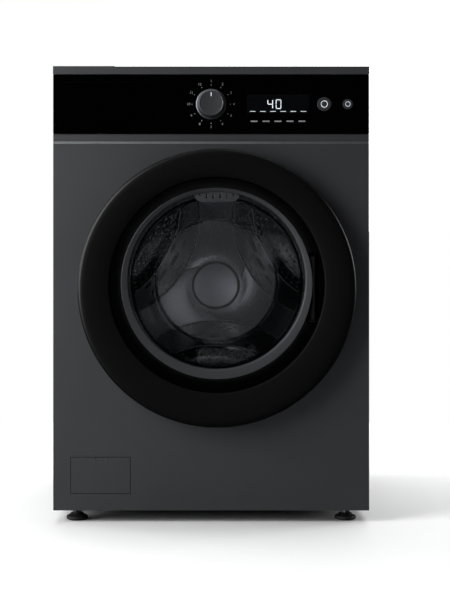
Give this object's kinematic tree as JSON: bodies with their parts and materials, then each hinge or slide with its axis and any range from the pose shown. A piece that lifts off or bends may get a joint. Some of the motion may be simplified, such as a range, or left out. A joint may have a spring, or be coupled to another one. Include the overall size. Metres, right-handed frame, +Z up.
{
  "type": "front load washing machine",
  "caption": "Front load washing machine: dark sheet-steel cabinet, wide round door with a glass bowl and rings, sprung tub, turning drum with lifters, detergent drawer and controls.",
  "frame": {"origin": "on the floor, under the middle of the machine's box", "axes": "+Z up, the front with the door faces -Y, +X is the right side seen from the front"},
  "size_m": [0.686, 0.77, 0.99],
  "materials": {
    "graphite_paint": "satin graphite paint on sheet steel",
    "galvanised_steel": "galvanised, dull",
    "stainless_steel": "brushed stainless",
    "door_satin_ring": "satin dark moulding",
    "gloss_black": "polished black",
    "trim_metal": "dark anodised, satin",
    "clear_glass": "clear, pressed",
    "black_plastic": "moulded, fine grain",
    "grey_plastic": "moulded grey",
    "pale_plastic": "moulded pale grey",
    "grey_rubber": "moulded grey rubber",
    "black_rubber": "moulded black rubber",
    "concrete": "cast concrete",
    "cast_alloy": "die cast",
    "copper_winding": "varnished copper winding"
  },
  "bodies": {
    "cabinet": {"base_frame": "black_plastic", "left_side_panel": "graphite_paint", "right_side_panel": "graphite_paint", "rear_panel": "galvanised_steel", "top_cover": "graphite_paint", "front_panel": "graphite_paint", "fascia_trim_strip": "graphite_paint", "control_fascia": "gloss_black", "front_cross_brace": "galvanised_steel", "spring_crossbar": "galvanised_steel", "dispenser_housing": "pale_plastic", "dispenser_hose": "black_rubber", "inlet_valve_block": "pale_plastic", "power_inlet": "black_plastic", "door_lock": "black_plastic", "door_hinge_bracket": "galvanised_steel", "door_gasket": "grey_rubber", "spring_left": "galvanised_steel", "spring_right": "galvanised_steel", "damper_cylinder_left": "galvanised_steel", "damper_cylinder_right": "galvanised_steel", "pump_body": "black_plastic", "tub_pump_hose": "black_rubber", "drain_hose": "black_rubber"},
    "tub": {"tub_front_shell": "grey_plastic", "tub_rear_shell": "grey_plastic", "counterweight_top": "concrete", "counterweight_front": "concrete", "drum_bearing": "stainless_steel", "motor_stator": "copper_winding", "heater": "stainless_steel", "damper_rod_left": "stainless_steel", "damper_rod_right": "stainless_steel"},
    "drum": {"drum_shell": "stainless_steel", "drum_back": "stainless_steel", "drum_hub_cap": "stainless_steel", "drum_shaft": "stainless_steel", "drum_spider": "cast_alloy", "drum_lifter_1": "grey_plastic", "drum_lifter_2": "grey_plastic", "drum_lifter_3": "grey_plastic", "motor_rotor": "galvanised_steel"},
    "door": {"door_outer_ring": "door_satin_ring", "door_bezel_ring": "gloss_black", "door_trim_ring": "trim_metal", "door_inner_frame": "black_plastic", "door_glass": "clear_glass", "door_hinge_arm": "cast_alloy"},
    "latch": {"latch_hook": "stainless_steel"},
    "drawer": {"drawer_front": "gloss_black", "drawer_tray": "pale_plastic"},
    "knob": {"program_knob": "trim_metal"},
    "start_key": {"start_button": "trim_metal"},
    "power_key": {"power_button": "trim_metal"},
    "filter": {"pump_filter": "grey_plastic"},
    "flap": {"service_flap": "graphite_paint"},
    "front_left_foot": {"foot_front_left": "black_rubber"},
    "front_right_foot": {"foot_front_right": "black_rubber"},
    "rear_left_foot": {"foot_rear_left": "black_rubber"},
    "rear_right_foot": {"foot_rear_right": "black_rubber"}
  },
  "joints": [
    {"name": "door_swing", "type": "hinge", "parent": "cabinet", "child": "door", "pos_m": [-0.28, -0.36, 0.509], "axis": [0, 0, -1], "range_deg": [0, 120]},
    {"name": "latch_turn", "type": "hinge", "parent": "door", "child": "latch", "pos_m": [0.252, -0.358, 0.509], "axis": [0, 0, 1], "range_deg": [0, 8], "stiffness_Nm_per_rad": 0.4},
    {"name": "tub_bounce", "type": "slide", "parent": "cabinet", "child": "tub", "axis": [0, 0, 1], "range_m": [-0.01, 0.01], "stiffness_N_per_m": 30000, "springref_m": 0.02, "deforming": ["spring_left", "spring_right", "dispenser_hose", "tub_pump_hose", "door_gasket"]},
    {"name": "drum_spin", "type": "hinge", "parent": "tub", "child": "drum", "pos_m": [0.012, 0, 0.509], "axis": [0, 1, 0], "continuous": true},
    {"name": "drawer_pull", "type": "slide", "parent": "cabinet", "child": "drawer", "axis": [0, -1, 0], "range_m": [0, 0.19]},
    {"name": "knob_turn", "type": "hinge", "parent": "cabinet", "child": "knob", "pos_m": [0, -0.348, 0.9075], "axis": [0, 1, 0], "continuous": true},
    {"name": "start_press", "type": "slide", "parent": "cabinet", "child": "start_key", "axis": [0, 1, 0], "range_m": [0, 0.002], "stiffness_N_per_m": 600},
    {"name": "power_press", "type": "slide", "parent": "cabinet", "child": "power_key", "axis": [0, 1, 0], "range_m": [0, 0.002], "stiffness_N_per_m": 600},
    {"name": "filter_turn", "type": "hinge", "parent": "cabinet", "child": "filter", "pos_m": [-0.24, -0.333, 0.102], "axis": [0, -1, 0], "range_deg": [0, 90]},
    {"name": "flap_fold", "type": "hinge", "parent": "cabinet", "child": "flap", "pos_m": [-0.24, -0.3435, 0.0645], "axis": [1, 0, 0], "range_deg": [0, 95]},
    {"name": "front_left_foot_turn", "type": "hinge", "parent": "cabinet", "child": "front_left_foot", "pos_m": [-0.295, -0.3, 0], "axis": [0, 0, 1], "continuous": true},
    {"name": "front_right_foot_turn", "type": "hinge", "parent": "cabinet", "child": "front_right_foot", "pos_m": [0.295, -0.3, 0], "axis": [0, 0, 1], "continuous": true},
    {"name": "rear_left_foot_turn", "type": "hinge", "parent": "cabinet", "child": "rear_left_foot", "pos_m": [-0.295, 0.325, 0], "axis": [0, 0, 1], "continuous": true},
    {"name": "rear_right_foot_turn", "type": "hinge", "parent": "cabinet", "child": "rear_right_foot", "pos_m": [0.295, 0.325, 0], "axis": [0, 0, 1], "continuous": true}
  ]
}
